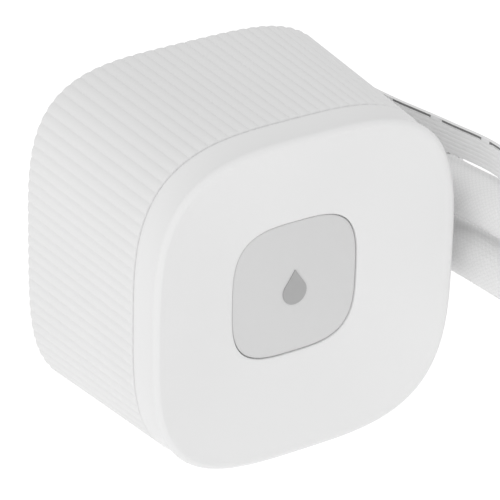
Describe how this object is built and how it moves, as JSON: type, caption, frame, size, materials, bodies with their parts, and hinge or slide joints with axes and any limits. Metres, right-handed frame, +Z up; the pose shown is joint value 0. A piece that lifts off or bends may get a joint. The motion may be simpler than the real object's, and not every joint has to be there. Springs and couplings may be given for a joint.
{
  "type": "liquid cooler pump head",
  "caption": "Squircle pump head for a liquid cooler: fluted white housing, dished front cap, copper cold plate, two braided hoses and a flat lead.",
  "frame": {"origin": "centre of the cold plate's contact face", "axes": "+Z up, -Y out of the front cap, +Y out of the contact face, +X towards the side where the hoses leave"},
  "size_m": [0.232, 0.2176, 0.0822],
  "materials": {
    "white_plastic": "satin moulded white plastic",
    "badge_grey": "light grey, smooth",
    "emblem_grey": "mid grey, printed",
    "black_plastic": "glass-filled black plastic",
    "rubber": "matt black rubber",
    "copper": "fine-milled copper",
    "steel": "plated steel",
    "nickel": "bright nickel plating",
    "magnet": "dark sintered magnet",
    "lamination": "stacked electrical steel",
    "winding": "lacquered copper wire",
    "ceramic": "polished ceramic",
    "graphite": "carbon graphite",
    "board": "green solder mask",
    "white_braid": "white woven sleeve",
    "lead_white": "white insulation"
  },
  "bodies": {
    "base": {"board_capacitor": "nickel", "board_header": "white_plastic", "board_screw_lower": "steel", "board_screw_upper": "steel", "chamber_seal": "rubber", "clamp_screw_lower": "steel", "clamp_screw_upper": "steel", "cold_plate": "copper", "controller_chip": "black_plastic", "frame_magnet_left": "nickel", "frame_magnet_right": "nickel", "frame_screw_1": "steel", "frame_screw_2": "steel", "frame_screw_3": "steel", "frame_screw_4": "steel", "housing_screw_1": "steel", "housing_screw_2": "steel", "housing_screw_3": "steel", "housing_screw_4": "steel", "inner_frame": "black_plastic", "jet_plate": "rubber", "lead_guide": "white_plastic", "lead_plug": "white_plastic", "lower_housing": "black_plastic", "motor_board": "board", "plate_gasket": "rubber", "plate_screw_1": "steel", "plate_screw_2": "steel", "plate_screw_3": "steel", "plate_screw_4": "steel", "port_clamp": "steel", "rear_cover": "black_plastic", "return_elbow": "black_plastic", "return_elbow_seal": "rubber", "return_end_ferrule": "white_plastic", "return_fitting": "nickel", "return_head_ferrule": "white_plastic", "return_hose": "white_braid", "ribbed_shroud": "white_plastic", "rotor_shaft": "ceramic", "signal_lead": "lead_white", "stator_bobbin": "white_plastic", "stator_core": "lamination", "stator_winding": "winding", "supply_elbow": "black_plastic", "supply_elbow_seal": "rubber", "supply_end_ferrule": "white_plastic", "supply_fitting": "nickel", "supply_head_ferrule": "white_plastic", "supply_hose": "white_braid", "upper_housing": "black_plastic"},
    "cap": {"front_cap": "white_plastic", "badge_plate": "badge_grey", "badge_emblem": "emblem_grey", "cap_magnet_left": "nickel", "cap_magnet_right": "nickel"},
    "rotor": {"impeller": "black_plastic", "rotor_magnet": "magnet", "rotor_bearing": "graphite"}
  },
  "joints": [
    {"name": "rotor_spin", "type": "hinge", "parent": "base", "child": "rotor", "pos_m": [0, -0.024, 0], "axis": [0, 1, 0], "continuous": true},
    {"name": "cap_pull", "type": "slide", "parent": "base", "child": "cap", "axis": [0, -1, 0], "range_m": [0, 0.012]}
  ]
}
